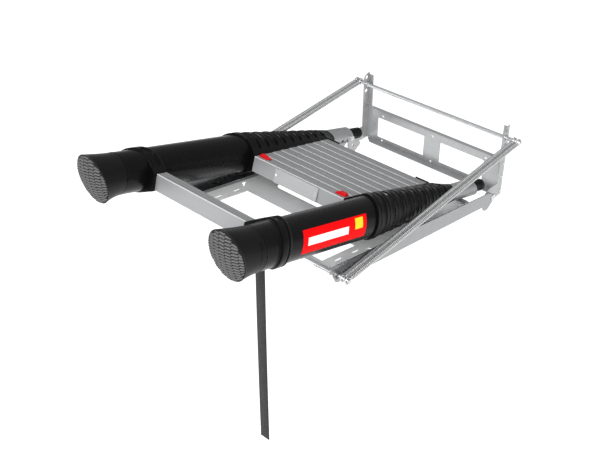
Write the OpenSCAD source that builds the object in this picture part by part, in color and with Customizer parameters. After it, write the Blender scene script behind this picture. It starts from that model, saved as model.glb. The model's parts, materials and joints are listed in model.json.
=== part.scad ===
// Telescopic attic ladder on a spring-balanced wall mounting frame.
// Frame of the part: X runs across the ladder, +Y points into the wall that the frame is
// screwed to and +Z is up.  The origin is the centre of the frame's six wall screws.

/* [Ladder] */
// Distance from stile axis to stile axis
stile_spacing = 363.6; // [363:0.2:364.4]
// Outer radius of the bottom pair of stile tubes
bottom_r = 41.7; // [41.2:0.1:42]
// Outer radius of the top pair of stile tubes
top_r = 19.6; // [19.2:0.1:19.8]
// Wall of every stile tube
tube_wall = 1.6; // [1.2:0.1:1.7]
// Rung spacing with the ladder drawn out
rung_pitch = 280; // [270:1:290]
// Rung spacing with the ladder closed up
stack_pitch = 31.2; // [31:0.1:32]
// Upward slope of the closed ladder towards its feet, in degrees
ladder_tilt = 16.8; // [15:0.1:18]
// Half length of the lowest step
step_half = 121; // [119:0.5:122]

/* [Wall frame] */
// Outside width over the two uprights
frame_w = 407.2; // [407:0.2:409]
// Depth of the uprights' webs and of the bottom shelf
frame_d = 22.4; // [20:0.2:23]
// Top of the uprights above the centre of the wall screws
upright_top = 143.7; // [138:0.1:150]
// Thickness of the frame's sheet steel
sheet = 1.6; // [1.2:0.1:1.6]
// Distance between the outer and the middle wall screws
screw_dx = 153; // [150:1:156]
// Distance between the two rows of wall screws
screw_dz = 70; // [68:1:72]
// Radius of the wall screw holes
screw_r = 2.75; // [2.5:0.05:3]

/* [Swing frame] */
// Downward slope of the arms towards the wall, in degrees
arm_tilt = 10.6; // [10:0.1:11]
// Distance from the arm pivot to the front rod
arm_len = 562; // [555:1:570]
// Radius of the pivot pins
pivot_r = 5; // [4:0.5:6]
// Radius of the front rod and of the upper rod
rod_r = 5; // [4:0.5:5]
// Outer radius of a balance spring
spring_r = 5.5; // [5:0.1:5.5]

/* [Hidden] */
$fn = 64;
eps = 0.01;
gap = 0.4;

// telescopic ladder, in the ladder frame: Y along the stiles, Z square to the treads
tubes_n = 10;
treads_n = tubes_n - 1;
axis_x = stile_spacing / 2;
axis_w = 21.2;
tube_step = (bottom_r - top_r) / treads_n;
tread_d = stack_pitch - 0.8;
tread_lo = 1.8;
tread_hi = 36.7;
stack_front = -466.5;
tube_below = 340;
foot_u = -815;
boot_u = -800;
sole_r = 54.5;
sole_narrow = 0.8;
sole_dome = 12;
sole_tilt = 23;
sole_at = [178.8, -852, 19];
end_u = -48;
end_slant = 25;
cap_end = -12;
cap_r = 14;
step_u = stack_front - rung_pitch;
step_d = 25.4;
clamp_d = 34;
rear_clip_x = 111; // inner end of the clips behind the last tread
tread_wall = 1.6;
bracket_t = 2.4;
cap_bolt_u = -70;
ring_extra = 4;
tail_len = 35;

// wall frame
pivot_y = -58.5;
pivot_z = -20;
half_w = frame_w / 2;
web_in = half_w - sheet;
panel_top = 53.6;
panel_bot = -39.5;
upright_bot = -42;
shelf_end = 178;
panel_tab = 13;
window_in = 24;
window_out = 168;
window_short = 19;
window_bot = -28;
window_top = 27.5;
rivet_r = 2.2;
rivet_z = [-30, 8, 44];
top_flange = 11;
wall_flange = 14;
rod_y = -9;
rod_z = 112.5;
rod_collar_r = 7;
rod_collar_h = 3;
rod_half = 241;
web_hole_r = 5;
web_hole_z = [133, 96];

// swing frame, in the arm frame: Y along the arms, Z square to them
arm_out = 217;
arm_in = 197;
arm_sheet = 1.6;
arm_top = 17.5;
arm_low = -14.6;
arm_floor = -8.6;
strip_in = 153.7;
strip_end = -44;
strip_top = -13.7;
strip_bot = strip_top - arm_sheet;
pin_t = -13.2;
pin_s = -sqrt(arm_len * arm_len - pin_t * pin_t);
spring_x = [224, 235.4];
front_rod_half = 241;
front_strip = 20;

// red release buttons
button_x = 106;
button_u = -451;
button_l = 26;
button_d = 15;
pin_r = 4;

// hanging strap
strap_x = 137;
strap_w = 24;
strap_t = 2;
strap_pin_u = -718;
strap_pin_w = -13.5;
strap_pin_r = 3;
strap_loop_r = 5.2;
strap_end_z = -321.6;
running = 0.05;

SECTION_NODES = [for (k = [1 : treads_n]) for (name = ["tubes_", "collars_", "tread_"]) str(name, k)];
PIN_NODES = [for (k = [2 : treads_n]) str("lock_pins_", k)];

// sizes that change from section to section; section 1 is the bottom one
function tube_r(k) = bottom_r - (k - 1) * tube_step;
function front_u(k) = stack_front + (k - 1) * stack_pitch;
function tread_half(k) = step_half + k * 2.63;
function ring_r(k) = k == 1 ? tube_r(1) + 1.2 : tube_r(k) + ring_extra;

// directions of the two tilted frames, and places worked out from them
function ladder_point(u, w) = [pivot_y + u * cos(ladder_tilt) + w * sin(ladder_tilt),
                               pivot_z - u * sin(ladder_tilt) + w * cos(ladder_tilt)];
function arm_point(s, t) = [pivot_y + s * cos(arm_tilt) + t * sin(arm_tilt),
                            pivot_z - s * sin(arm_tilt) + t * cos(arm_tilt)];

module ladder_frame() {
    translate([0, pivot_y, pivot_z]) rotate([-ladder_tilt, 0, 0]) children();
}

module arm_frame() {
    translate([0, pivot_y, pivot_z]) rotate([-arm_tilt, 0, 0]) children();
}

module both_sides() {
    children();
    mirror([1, 0, 0]) children();
}

// box between two corners
module block(low, high) {
    translate(low) cube(high - low);
}

// round bar along X from x0 to x1 at height z and depth y
module bar_x(r, x0, x1, y = 0, z = 0) {
    translate([x0, y, z]) rotate([0, 90, 0]) cylinder(r = r, h = x1 - x0);
}

// round bar along the ladder's Y from u0 to u1 on a stile axis
module stile_bar(r, u0, u1) {
    translate([axis_x, u0, axis_w]) rotate([-90, 0, 0]) cylinder(r = r, h = u1 - u0);
}

// plate in the YZ plane from x0 to x1 with the outline points = [[y, z], ...]
module side_plate(points, x0, x1) {
    translate([x0, 0, 0]) rotate([90, 0, 90]) linear_extrude(x1 - x0) polygon(points);
}

// ---------- wall frame ----------

module screw_hole(x, z) {
    translate([x, 1, z]) rotate([90, 0, 0]) cylinder(r = screw_r, h = sheet + 2);
}

module wall_panel() {
    color("silver") difference() {
        union() {
            block([-web_in, -sheet, panel_bot], [web_in, 0, panel_top]);
            block([-web_in + 20, -top_flange, panel_top - sheet], [web_in - 20, 0, panel_top]);
            translate([0, 0, panel_bot]) linear_extrude(sheet)
                polygon([[-web_in, 0], [-shelf_end, -frame_d], [shelf_end, -frame_d], [web_in, 0]]);
            both_sides() block([web_in - sheet, -panel_tab, panel_bot], [web_in, 0, panel_top]);
        }
        both_sides() for (z = rivet_z) bar_x(rivet_r, web_in - 5, half_w, -panel_tab / 2 - 1, z);
        for (side = [-1, 1]) {
            block([side > 0 ? window_in : -window_out, -5, window_bot],
                  [side > 0 ? window_out - window_short : -window_in, 5, window_top]);
            for (z = [-screw_dz / 2, screw_dz / 2]) screw_hole(side * screw_dx, z);
        }
        for (z = [-screw_dz / 2, screw_dz / 2]) screw_hole(0, z);
    }
}

module upright() {
    web = [[-sheet, upright_bot], [-sheet, upright_top], [-9, upright_top - 1.5], [-18, upright_top - 5],
           [-frame_d, upright_top - 11], [-frame_d, -3.5], [-52, -3.5], [-66, -8], [-71, -20],
           [-66, -32], [-54, -36], [-frame_d, upright_bot]];
    difference() {
        union() {
            side_plate(web, web_in, half_w);
            block([half_w - wall_flange, -sheet, panel_top + 0.5], [half_w, 0, upright_top - 6]);
            block([web_in, -sheet, upright_bot], [half_w, 0, upright_top]);
        }
        bar_x(pivot_r, web_in - 5, half_w + 5, pivot_y, pivot_z);
        bar_x(rod_r, web_in - 5, half_w + 5, rod_y, rod_z);
        for (z = web_hole_z) bar_x(web_hole_r, web_in - 5, half_w + 5, -12, z);
        for (z = rivet_z) bar_x(rivet_r, web_in - 5, half_w + 5, -panel_tab / 2 - 1, z);
    }
}

module right_upright() {
    color("silver") upright();
}

module left_upright() {
    color("silver") mirror([1, 0, 0]) upright();
}

module upper_rod() {
    color("gainsboro") bar_x(rod_r, -rod_half, rod_half, rod_y, rod_z);
}

// spacer rings that hold the rod endways, inside and outside each upright
module rod_collars() {
    color("dimgray") both_sides() difference() {
        union() {
            bar_x(rod_collar_r, web_in - rod_collar_h, web_in, rod_y, rod_z);
            bar_x(rod_collar_r, half_w, half_w + rod_collar_h, rod_y, rod_z);
        }
        bar_x(rod_r, web_in - 5, half_w + 5, rod_y, rod_z);
    }
}

// rivets through the uprights' webs and the panel's end tabs
module frame_rivets() {
    color("gray") both_sides() for (z = rivet_z) {
        bar_x(rivet_r, web_in - sheet, half_w, -panel_tab / 2 - 1, z);
        bar_x(rivet_r + 1.6, half_w, half_w + 1.4, -panel_tab / 2 - 1, z);
    }
}

// fixed pins that the arms turn on, with a head, a shoulder and a tail end
module pivot_pins() {
    color("silver") both_sides() {
        bar_x(pivot_r + 3, web_in - 3, web_in, pivot_y, pivot_z);
        bar_x(pivot_r, web_in - 3, arm_out + 0.9, pivot_y, pivot_z);
        bar_x(pivot_r + 3, half_w, arm_out - arm_sheet - gap, pivot_y, pivot_z);
        bar_x(pivot_r + 3, arm_out + 0.35, arm_out + 0.9, pivot_y, pivot_z);
    }
}

// ---------- swing frame ----------

// outer flange with a slanted front end, a nose round the pivot and a hooked stop below it
module arm_flange() {
    outline = [[-600, arm_top], [-30, arm_top], [-8, 11], [9, 7], [11, -4], [0, -12], [-14, -26],
               [-24, -28], [-34, -24], [-42, arm_low], [pin_s - 6, arm_low - 9], [pin_s - 14, arm_low - 5],
               [pin_s - 20, arm_low + 4]];
    side_plate(outline, arm_out - arm_sheet, arm_out);
}

// rounded ear that carries the front rod under the front end of an arm
module ear(x) {
    hull() {
        bar_x(9, x, x + arm_sheet, pin_s, pin_t - 11);
        block([x, pin_s - 10, strip_bot - 1], [x + arm_sheet, pin_s + 10, strip_bot]);
    }
    block([x, pin_s - 10, strip_bot - 1], [x + arm_sheet, pin_s + 10, strip_top]);
}

module arm() {
    arm_frame() difference() {
        union() {
            arm_flange();
            block([arm_in, pin_s - 8, arm_floor], [arm_out - arm_sheet + eps, -60, arm_floor + arm_sheet]);
            block([arm_in, pin_s - 8, strip_bot], [arm_in + arm_sheet, -60, arm_floor + eps]);
        }
        bar_x(pivot_r + running, arm_in - 5, arm_out + 5);
        bar_x(rod_r, arm_in - 5, arm_out + 5, pin_s, pin_t);
    }
}

module right_arm() {
    color("lightgray") arm();
}

module left_arm() {
    color("lightgray") mirror([1, 0, 0]) arm();
}

// plate between the arms with a handle slot, a strip along each arm and one across the front
module cross_plate() {
    color("whitesmoke") arm_frame() difference() {
        union() {
            block([-strip_in, -438, strip_bot], [strip_in, -240, strip_top]);
            block([-strip_in, pin_s + rod_r + 0.5, strip_bot], [strip_in, pin_s + front_strip, strip_top]);
            both_sides() block([strip_in - eps, pin_s - 8, strip_bot], [arm_in, strip_end, strip_top]);
            both_sides() for (x = [strip_in + 9, arm_in - arm_sheet]) ear(x);
        }
        hull() for (x = [-120, 120]) translate([x, -352, -30]) cylinder(r = 15, h = 40);
        both_sides() {
            bar_x(rod_r, strip_in - 5, arm_in + 5, pin_s, pin_t);
            for (s = [-456, -512]) block([168, s - 9, -30], [171, s + 9, 0]);
            translate([0, 0, -30]) linear_extrude(40) polygon([[174, -428], [190, -405], [190, -418]]);
        }
    }
}

module plate_rivets() {
    color("gray") arm_frame() both_sides() for (s = [-540, -300, -120])
        translate([arm_in - 8, s, strip_top]) cylinder(r = 4, h = 1.6);
}

// rod across the front of the arms that the springs hook on to
module front_rod() {
    color("gainsboro") arm_frame() {
        bar_x(rod_r, -front_rod_half, front_rod_half, pin_s, pin_t);
        both_sides() difference() {
            bar_x(rod_r + 2, arm_out, arm_out + 1.2, pin_s, pin_t);
            bar_x(rod_r - eps, arm_out - 1, arm_out + 3, pin_s, pin_t);
        }
    }
}

// upright lugs that bolt the ladder's top tubes down to the cross plate's strips
module top_brackets() {
    x1 = axis_x - top_r;
    outline = [arm_point(-66, strip_top), arm_point(-46, strip_top), ladder_point(-26, 0), ladder_point(-26, 6),
               ladder_point(-36, 11), ladder_point(-56, 14), ladder_point(-62, 25), ladder_point(-70, 29),
               ladder_point(-78, 26), ladder_point(-81, 18), ladder_point(-76, 2)];
    color("lightgray") both_sides() difference() {
        union() {
            side_plate(outline, x1 - bracket_t, x1);
            arm_frame() block([x1 - bracket_t, -66, strip_top], [x1 + 18, -46, strip_top + bracket_t]);
        }
        ladder_frame() bar_x(pin_r, x1 - 5, x1 + 5, cap_bolt_u, axis_w);
        ladder_frame() bar_x(pin_r, x1 - 5, x1 + 5, -56, 1);
    }
}

// ---------- top section ----------

// top pair of tubes; the upper side of each end is cut back at a slant
module top_tubes() {
    u_lo = front_u(tubes_n) - tube_below;
    color("darkgray") ladder_frame() both_sides() difference() {
        stile_bar(top_r, u_lo, end_u);
        stile_bar(top_r - tube_wall, u_lo - 1, end_u + 20);
        bar_x(pin_r, axis_x - top_r - 5, axis_x + top_r + 5, cap_bolt_u, axis_w);
        translate([axis_x - 30, end_u, axis_w - top_r]) rotate([end_slant, 0, 0])
            translate([0, 0, -10]) cube([60, 40, 70]);
    }
}

module top_caps() {
    color("black") ladder_frame() both_sides() difference() {
        union() {
            stile_bar(top_r - tube_wall, cap_bolt_u - 15, end_u - 22);
            stile_bar(cap_r, end_u - 22, cap_end);
        }
        bar_x(pin_r, axis_x - top_r - 5, axis_x + top_r + 5, cap_bolt_u, axis_w);
    }
}

// cross bolts through bracket, tube and cap
module cap_bolts() {
    x0 = axis_x - top_r - bracket_t;
    color("dimgray") ladder_frame() both_sides() {
        bar_x(pin_r, x0, axis_x + top_r - 0.4, cap_bolt_u, axis_w);
        bar_x(pin_r + 2.5, x0 - 4, x0, cap_bolt_u, axis_w);
    }
}

// ---------- telescopic sections ----------

module tubes(k) {
    u_hi = front_u(k) + tread_d;
    u_lo = k == 1 ? foot_u : u_hi - tube_below;
    color(k == 1 ? "black" : "darkgray") ladder_frame() both_sides() difference() {
        stile_bar(tube_r(k), u_lo, u_hi);
        stile_bar(tube_r(k) - tube_wall, u_lo - 1, u_hi + 1);
        bar_x(pin_r, axis_x - tube_r(k) - 5, axis_x - tube_r(k) + 8, pin_u(k), axis_w);
    }
}

function pin_u(k) = k == 1 ? button_u : front_u(k) + tread_d / 2;

module collars(k) {
    u0 = front_u(k);
    half = tread_half(k);
    color("black") ladder_frame() both_sides() difference() {
        union() {
            stile_bar(ring_r(k), u0, u0 + tread_d);
            block([half, u0, tread_lo], [axis_x - 5, u0 + tread_d, tread_hi + 1.2]);
            block([half - 9, u0 + 3, tread_lo + 2.4], [half, u0 + tread_d - 3, tread_hi - 2.4]);
            if (k == treads_n) {
                stile_bar(ring_r(k) - 2, u0 + tread_d, u0 + tread_d + tail_len);
                block([rear_clip_x, u0 + tread_d - 3, tread_hi], [half, u0 + tread_d + 2, tread_hi + 3]);
                block([rear_clip_x, u0 + tread_d, tread_lo + 5], [half, u0 + tread_d + 2, tread_hi + 3]);
                block([half - 1, u0 + tread_d, tread_lo], [axis_x - 8, u0 + tread_d + 2, tread_hi + 3]);
            }
        }
        stile_bar(tube_r(k), u0 - 1, u0 + tread_d + eps);
        if (k == treads_n) stile_bar(top_r + 0.8, u0 + tread_d - 1, u0 + tread_d + tail_len + 1);
        bar_x(pin_r, half - 20, axis_x, pin_u(k), axis_w);
    }
}

// hollow extruded tread with a middle web
module extrusion(half, u0, depth, open_top = 0) {
    mid = u0 + depth / 2;
    difference() {
        block([-half, u0, tread_lo], [half, u0 + depth, tread_hi]);
        block([-half - 1, u0 + tread_wall, tread_lo + tread_wall],
              [half + 1, mid - tread_wall / 2, tread_hi - tread_wall]);
        block([-half - 1, mid + tread_wall / 2, tread_lo + tread_wall],
              [half + 1, u0 + depth - tread_wall, tread_hi - tread_wall]);
        for (side = [-1, 1])
            block([side > 0 ? half - 70 : -half - 1, u0 + tread_wall, tread_lo + tread_wall],
                  [side > 0 ? half + 1 : 70 - half, u0 + depth - tread_wall, tread_hi - tread_wall]);
        if (open_top > 0) both_sides()
            block([button_x - 16, button_u - 3, axis_w], [button_x + 8, button_u + 3, tread_hi + 1]);
    }
}

module tread(k) {
    color("silver") ladder_frame()
        extrusion(tread_half(k), front_u(k), tread_d, k == 1 ? 1 : 0);
}

// spring-loaded pins in the ends of each tread that lock the section above when it is drawn out
module lock_pins(k) {
    color("gray") ladder_frame() both_sides()
        bar_x(pin_r, tread_half(k) - 34, axis_x - tube_r(k) + tube_wall, pin_u(k), axis_w);
}

// ---------- bottom section ----------

// rubber foot: a flared boot with a slanted, domed sole that lies flat when the ladder leans
module foot() {
    ball_r = (sole_r * sole_r + sole_dome * sole_dome) / (2 * sole_dome);
    cap_angle = asin(sole_r / ball_r);
    difference() {
        hull() {
            stile_bar(bottom_r + 2, boot_u, boot_u + 1, $fn = 32);
            translate(sole_at) rotate([90 + sole_tilt, 0, 0]) scale([sole_narrow, 1, 1])
                for (a = [cap_angle / 12, cap_angle / 3, cap_angle * 2 / 3, cap_angle])
                    translate([0, 0, sole_dome - ball_r + ball_r * cos(a)])
                        cylinder(r = ball_r * sin(a), h = 0.2, $fn = 32);
        }
        stile_bar(bottom_r, foot_u, boot_u + 20);
    }
}

module feet() {
    color("black") ladder_frame() both_sides() foot();
}

module lowest_step() {
    color("silver") ladder_frame() extrusion(step_half, step_u, step_d);
}

// clamps that carry the lowest step; the right one has lugs and a pin under it for the strap
module step_clamps() {
    u0 = step_u - 9;
    u1 = u0 + clamp_d;
    color("black") ladder_frame() difference() {
        union() {
            both_sides() {
                stile_bar(bottom_r + 3.6, u0, u1);
                block([step_half, step_u - 4, tread_lo - 1], [axis_x - 5, u1 + 5, tread_hi + 2]);
                block([step_half - 12, step_u + 3, tread_lo + 2.4],
                      [step_half, step_u + step_d - 3, tread_hi - 2.4]);
            }
            for (x = [strap_x - strap_w / 2 - 4.5, strap_x + strap_w / 2 + 1.5])
                block([x, strap_pin_u - 5, strap_pin_w - 5], [x + 3, strap_pin_u + 5, tread_lo]);
            bar_x(strap_pin_r, strap_x - strap_w / 2 - 2, strap_x + strap_w / 2 + 2, strap_pin_u, strap_pin_w);
        }
        both_sides() stile_bar(bottom_r, u0 - 1, strap_pin_u + 8);
    }
}

// cover plate on the front of the first stacked tread
module tread_cover() {
    color("whitesmoke") ladder_frame()
        block([-59.5, stack_front - 3, tread_lo + 1], [59.5, stack_front, tread_hi - 2]);
}

// red thumb button on top of the first stacked tread, its stem and its lock pin
module button() {
    top = tread_hi + gap;
    tip = axis_x - bottom_r + tube_wall;
    ladder_frame() {
        hull() {
            block([button_x - button_l / 2, button_u - button_d / 2, top],
                  [button_x + button_l / 2, button_u + button_d / 2, top + 1.5]);
            block([button_x + 2, button_u - button_d / 2 + 2, top],
                  [button_x + button_l / 2 - 1, button_u + button_d / 2 - 2, top + 6]);
        }
        block([button_x - 7, button_u - 2.4, axis_w + 2], [button_x + 7, button_u + 2.4, top + 1]);
        bar_x(pin_r - 0.4, button_x - 12, tip, button_u, axis_w);
    }
}

module right_button() {
    color("red") button();
}

module left_button() {
    color("red") mirror([1, 0, 0]) button();
}

// flat hanging strap with a loop round the right clamp's strap pin
module strap() {
    at = ladder_point(strap_pin_u, strap_pin_w);
    color("black") difference() {
        union() {
            bar_x(strap_loop_r, strap_x - strap_w / 2, strap_x + strap_w / 2, at[0], at[1]);
            block([strap_x - strap_w / 2, at[0] - strap_t / 2, strap_end_z],
                  [strap_x + strap_w / 2, at[0] + strap_t / 2, at[1] - strap_pin_r - 1]);
        }
        bar_x(strap_pin_r + running, strap_x - strap_w, strap_x + strap_w, at[0], at[1]);
    }
}

// ---------- balance springs ----------

// four extension springs, two on each side, drawn as their outer cylinders
module springs() {
    top = [rod_y, rod_z];
    low = arm_point(pin_s, pin_t);
    run = low - top;
    length = norm(run);
    slope = atan2(run[1], -run[0]);
    color("gray") both_sides() for (x = spring_x)
        translate([x, top[0], top[1]]) rotate([90 - slope, 0, 0])
            translate([0, 0, rod_r + 3]) cylinder(r = spring_r, h = length - 2 * rod_r - 22);
}

// end rings with a hook on each spring, sliding along the spring's line as it stretches
module spring_hooks() {
    low = arm_point(pin_s, pin_t);
    run = low - [rod_y, rod_z];
    slope = atan2(run[1], -run[0]);
    color("gray") both_sides() for (x = spring_x)
        translate([x, low[0], low[1]]) rotate([90 - slope, 0, 0])
            translate([0, 0, -rod_r - 12]) cylinder(r = spring_r - 1.4, h = 11);
}

wall_panel();
left_upright();
right_upright();
upper_rod();
rod_collars();
frame_rivets();
pivot_pins();
left_arm();
right_arm();
cross_plate();
plate_rivets();
front_rod();
top_brackets();
top_tubes();
top_caps();
cap_bolts();
feet();
lowest_step();
step_clamps();
tread_cover();
left_button();
right_button();
springs();
spring_hooks();
strap();
for (k = [1 : treads_n]) {
    tubes(k);
    collars(k);
    tread(k);
}
for (k = [2 : treads_n]) lock_pins(k);
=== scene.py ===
"""Telescopic attic ladder on its spring-balanced wall frame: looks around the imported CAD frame.

Lengths are in millimetres in the ladder's and the arms' own frames, and in metres in the row frame.
"""

import json
import math

import bmesh
import bpy
from mathutils import Matrix, Vector


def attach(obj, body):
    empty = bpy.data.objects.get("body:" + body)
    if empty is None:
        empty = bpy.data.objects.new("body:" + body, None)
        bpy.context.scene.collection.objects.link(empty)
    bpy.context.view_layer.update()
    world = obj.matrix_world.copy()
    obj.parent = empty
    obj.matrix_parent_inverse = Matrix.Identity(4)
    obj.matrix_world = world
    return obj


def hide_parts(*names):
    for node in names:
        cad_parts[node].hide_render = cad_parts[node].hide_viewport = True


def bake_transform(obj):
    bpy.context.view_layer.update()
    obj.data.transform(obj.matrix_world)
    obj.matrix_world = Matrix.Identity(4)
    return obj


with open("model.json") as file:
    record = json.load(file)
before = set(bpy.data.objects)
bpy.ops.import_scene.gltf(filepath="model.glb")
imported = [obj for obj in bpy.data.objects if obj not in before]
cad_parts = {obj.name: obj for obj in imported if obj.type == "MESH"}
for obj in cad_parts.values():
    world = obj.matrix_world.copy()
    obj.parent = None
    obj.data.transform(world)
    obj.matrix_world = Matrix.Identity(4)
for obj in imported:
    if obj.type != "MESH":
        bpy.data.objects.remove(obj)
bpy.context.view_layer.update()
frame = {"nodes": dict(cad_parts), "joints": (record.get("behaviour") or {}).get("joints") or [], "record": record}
nodes = frame["nodes"]
joints = {joint["name"]: joint for joint in frame["joints"]}
MM = 0.001
SECTIONS = 9


# ---------- frames ----------

def tilted_frame(pivot, slope):
    """Matrix from millimetres (x, u, w) to the row frame, u falling towards the wall by slope radians."""
    return Matrix.Translation(pivot) @ Matrix.Rotation(-slope, 4, "X") @ Matrix.Scale(MM, 4)


PIVOT = Vector(joints["ladder_swing"]["pos_m"])
slide_axis = Vector(joints["section_1_slide"]["axis"])
LADDER_SLOPE = math.atan2(slide_axis.z, -slide_axis.y)
LADDER = tilted_frame(PIVOT, LADDER_SLOPE)
ROW = Matrix.Scale(MM, 4)


def local_box(node, matrix):
    """Lowest and highest corner of a CAD node, in millimetres, in one of the frames above."""
    back = matrix.inverted()
    points = [back @ v.co for v in nodes[node].data.vertices]
    low = Vector([min(p[i] for p in points) for i in range(3)])
    high = Vector([max(p[i] for p in points) for i in range(3)])
    return low, high


def tube_size(k):
    """Stile axis x and w, and the outer radius, of section k's tubes."""
    low, high = local_box(f"tubes_{k}", LADDER)
    radius = (high.z - low.z) / 2
    return high.x - radius, (high.z + low.z) / 2, radius


AXIS_X, AXIS_W, BOTTOM_R = tube_size(1)


# ---------- materials ----------

def set_input(shader, name, value):
    """Sets one input of a shader node."""
    shader.inputs[name].default_value = value


def surface(name, colour, metallic=0.0, roughness=0.5, grain=(400, 400, 400), tilt=0.0, tone=0.12,
            rough_spread=0.12, bump=0.04, bump_grain=(900, 900, 900), specular=0.5):
    """Principled material whose tone, roughness and fine relief come from noise in object space."""
    mat = bpy.data.materials.new(name)
    mat.use_nodes = True
    tree = mat.node_tree
    shader = tree.nodes["Principled BSDF"]
    set_input(shader, "Metallic", metallic)
    set_input(shader, "Specular IOR Level", specular)
    coords = tree.nodes.new("ShaderNodeTexCoord")

    def noise(scale, detail):
        mapping = tree.nodes.new("ShaderNodeMapping")
        mapping.vector_type = "POINT"
        mapping.inputs["Rotation"].default_value = (tilt, 0, 0)
        mapping.inputs["Scale"].default_value = scale
        texture = tree.nodes.new("ShaderNodeTexNoise")
        texture.inputs["Scale"].default_value = 1.0
        texture.inputs["Detail"].default_value = detail
        tree.links.new(coords.outputs["Object"], mapping.inputs["Vector"])
        tree.links.new(mapping.outputs["Vector"], texture.inputs["Vector"])
        return texture

    tone_noise = noise(grain, 4)
    ramp = tree.nodes.new("ShaderNodeValToRGB")
    ramp.color_ramp.elements[0].position = 0.3
    ramp.color_ramp.elements[1].position = 0.7
    ramp.color_ramp.elements[0].color = (*[c * (1 - tone) for c in colour], 1)
    ramp.color_ramp.elements[1].color = (*[min(1, c * (1 + tone)) for c in colour], 1)
    tree.links.new(tone_noise.outputs["Fac"], ramp.inputs["Fac"])
    tree.links.new(ramp.outputs["Color"], shader.inputs["Base Color"])
    spread = tree.nodes.new("ShaderNodeMapRange")
    spread.inputs["To Min"].default_value = max(0.02, roughness - rough_spread)
    spread.inputs["To Max"].default_value = min(1.0, roughness + rough_spread)
    tree.links.new(tone_noise.outputs["Fac"], spread.inputs["Value"])
    tree.links.new(spread.outputs["Result"], shader.inputs["Roughness"])
    relief = tree.nodes.new("ShaderNodeBump")
    relief.inputs["Strength"].default_value = bump
    relief.inputs["Distance"].default_value = 0.0004
    tree.links.new(noise(bump_grain, 3).outputs["Fac"], relief.inputs["Height"])
    tree.links.new(relief.outputs["Normal"], shader.inputs["Normal"])
    return mat


MATERIALS = {
    "frame_steel": surface("frame_steel", (0.4, 0.405, 0.41), 0.6, 0.36, (60, 60, 60), tone=0.05,
                           rough_spread=0.06, bump=0.04),
    # the arms' steel is the frame steel made darker and fully metallic: painted shade for the shadow of the black
    # tubes on the arms' channels
    "arm_steel_painted_shade": surface("arm_steel_painted_shade", (0.31, 0.315, 0.32), 1.0, 0.26, (60, 60, 60), tone=0.05,
                         rough_spread=0.05, bump=0.03),
    # the cross plate's steel is nearly white and not metallic: painted light for the light from above on the plate
    # under the treads
    "painted_light_steel": surface("painted_light_steel", (0.93, 0.935, 0.94), 0.0, 0.5, (50, 50, 50), tone=0.04,
                            rough_spread=0.06, bump=0.04),
    "zinc_steel": surface("zinc_steel", (0.6, 0.61, 0.62), 0.85, 0.3, (30, 600, 600), tone=0.06, bump=0.04),
    "spring_steel": surface("spring_steel", (0.56, 0.565, 0.57), 0.75, 0.25, (500, 500, 500), tone=0.06),
    "tread_aluminium": surface("tread_aluminium", (0.28, 0.285, 0.29), 0.3, 0.45, (14, 900, 900),
                               LADDER_SLOPE, 0.05, 0.06, 0.04, (20, 1800, 1800)),
    "tube_aluminium": surface("tube_aluminium", (0.33, 0.335, 0.34), 0.6, 0.42, (700, 14, 700),
                              LADDER_SLOPE, 0.05, 0.08, 0.06, (1400, 20, 1400)),
    # lighter metal on the treads' rounded top edges: painted highlight for the light line along each tread edge
    "painted_edge_highlight": surface("painted_edge_highlight", (0.56, 0.565, 0.57), 0.1, 0.4, (14, 900, 900), LADDER_SLOPE,
                             0.03, 0.05, 0.02, (20, 1800, 1800)),
    "cover_plate": surface("cover_plate", (0.36, 0.365, 0.37), 0.3, 0.45, (14, 800, 800), LADDER_SLOPE,
                           0.04, 0.06, 0.04, (20, 1800, 1800)),
    "black_tube": surface("black_tube", (0.004, 0.004, 0.0043), 0.0, 0.28, (300, 300, 300), tone=0.2,
                          bump=0.015, bump_grain=(1600, 1600, 1600), specular=0.1),
    "black_plastic": surface("black_plastic", (0.004, 0.004, 0.0043), 0.0, 0.34, (250, 250, 250), tone=0.2,
                             bump=0.03, bump_grain=(1400, 1400, 1400), specular=0.08),
    "foot_rubber": surface("foot_rubber", (0.004, 0.004, 0.0043), 0.0, 0.4, (220, 220, 220), tone=0.2,
                           bump=0.04, bump_grain=(1200, 1200, 1200), specular=0.14),
    "sole_bar": surface("sole_bar", (0.12, 0.12, 0.122), 0.0, 0.55, (220, 220, 220), tone=0.2,
                        bump=0.05, bump_grain=(1200, 1200, 1200), specular=0.2),
    "red_plastic": surface("red_plastic", (0.62, 0.004, 0.008), 0.0, 0.4, (200, 200, 200), tone=0.06,
                           bump=0.03, specular=0.15),
    "label_red": surface("label_red", (0.8, 0.002, 0.003), 0.0, 0.5, (90, 90, 90), tone=0.03, bump=0.02,
                         specular=0.04),
    "label_white": surface("label_white", (0.86, 0.85, 0.84), 0.0, 0.45, (90, 90, 90), tone=0.03, bump=0.02,
                           specular=0.15),
    "label_yellow": surface("label_yellow", (0.86, 0.66, 0.02), 0.0, 0.45, (90, 90, 90), tone=0.03,
                            bump=0.02, specular=0.15),
}
# the cross plate gets the painted-light steel and the arms the painted-shade steel, in place of their slots'
# material
NODE_MATERIALS = {"cross_plate": "painted_light_steel", "right_arm": "arm_steel_painted_shade", "left_arm": "arm_steel_painted_shade"}


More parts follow.
